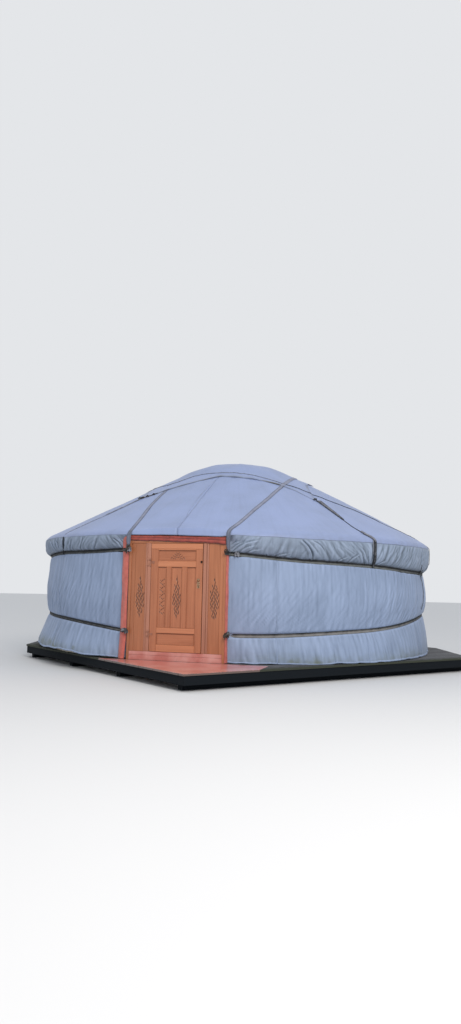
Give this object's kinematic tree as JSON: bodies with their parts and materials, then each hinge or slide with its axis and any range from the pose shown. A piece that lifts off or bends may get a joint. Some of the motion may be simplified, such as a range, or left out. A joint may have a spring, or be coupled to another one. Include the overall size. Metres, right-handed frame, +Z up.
{
  "type": "yurt",
  "caption": "Round felt tent with a latticed wall, pole roof, canvas covers and a carved outward-opening door, on a low timber deck.",
  "frame": {"origin": "on the ground below the tent's axis, on the underside of the middle sleeper", "axes": "+Z up, -Y out of the doorway, +X to the right of someone who faces the door"},
  "size_m": [8.2013, 8.7562, 3.659],
  "materials": {
    "canvas": "weathered waterproof canvas, slightly glossy",
    "felt": "pressed wool felt",
    "red_cloth": "red cloth binding",
    "webbing": "grey woven webbing",
    "rope": "dark twisted rope",
    "door_wood": "orange stained and varnished boards",
    "frame_wood": "orange stained laths and poles",
    "porch_paint": "glossy coral floor paint on boards",
    "deck_boards": "weathered grey boards",
    "deck_timber": "dark weathered timber",
    "lock_brass": "tarnished brass",
    "hinge_steel": "painted steel"
  },
  "bodies": {
    "root": {"deck_floor": "deck_boards", "porch_floor": "porch_paint", "deck_rim": "deck_timber", "deck_joists": "deck_timber", "deck_sleepers": "deck_timber", "door_frame": "door_wood", "side_panel_left": "door_wood", "side_panel_right": "door_wood", "frame_hinges": "hinge_steel", "head_trim": "red_cloth", "side_trims": "red_cloth", "lattice_front_right": "frame_wood", "lattice_right": "frame_wood", "lattice_back_right": "frame_wood", "lattice_back_left": "frame_wood", "lattice_left": "frame_wood", "lattice_front_left": "frame_wood", "felt_wall_front_right": "felt", "felt_wall_right": "felt", "felt_wall_back_right": "felt", "felt_wall_back_left": "felt", "felt_wall_left": "felt", "felt_wall_front_left": "felt", "canvas_wall_right": "canvas", "canvas_wall_left": "canvas", "valance_right": "canvas", "valance_left": "canvas", "roof_felt_front": "felt", "roof_felt_right": "felt", "roof_felt_back": "felt", "roof_felt_left": "felt", "roof_cover_right": "canvas", "roof_cover_left": "canvas", "crown_cover": "canvas", "roof_poles_right": "frame_wood", "roof_poles_left": "frame_wood", "crown": "frame_wood", "crown_posts": "frame_wood", "upper_belt": "webbing", "lower_belt": "webbing", "roof_straps": "webbing", "corner_ropes": "rope", "belt_knots": "rope"},
    "door": {"door_leaf": "door_wood", "door_lock": "lock_brass", "leaf_hinges": "hinge_steel"}
  },
  "joints": [
    {"name": "door_hinge", "type": "hinge", "parent": "root", "child": "door", "pos_m": [-0.4025, -3.381, 0], "axis": [0, 0, -1], "range_deg": [0, 100]}
  ]
}
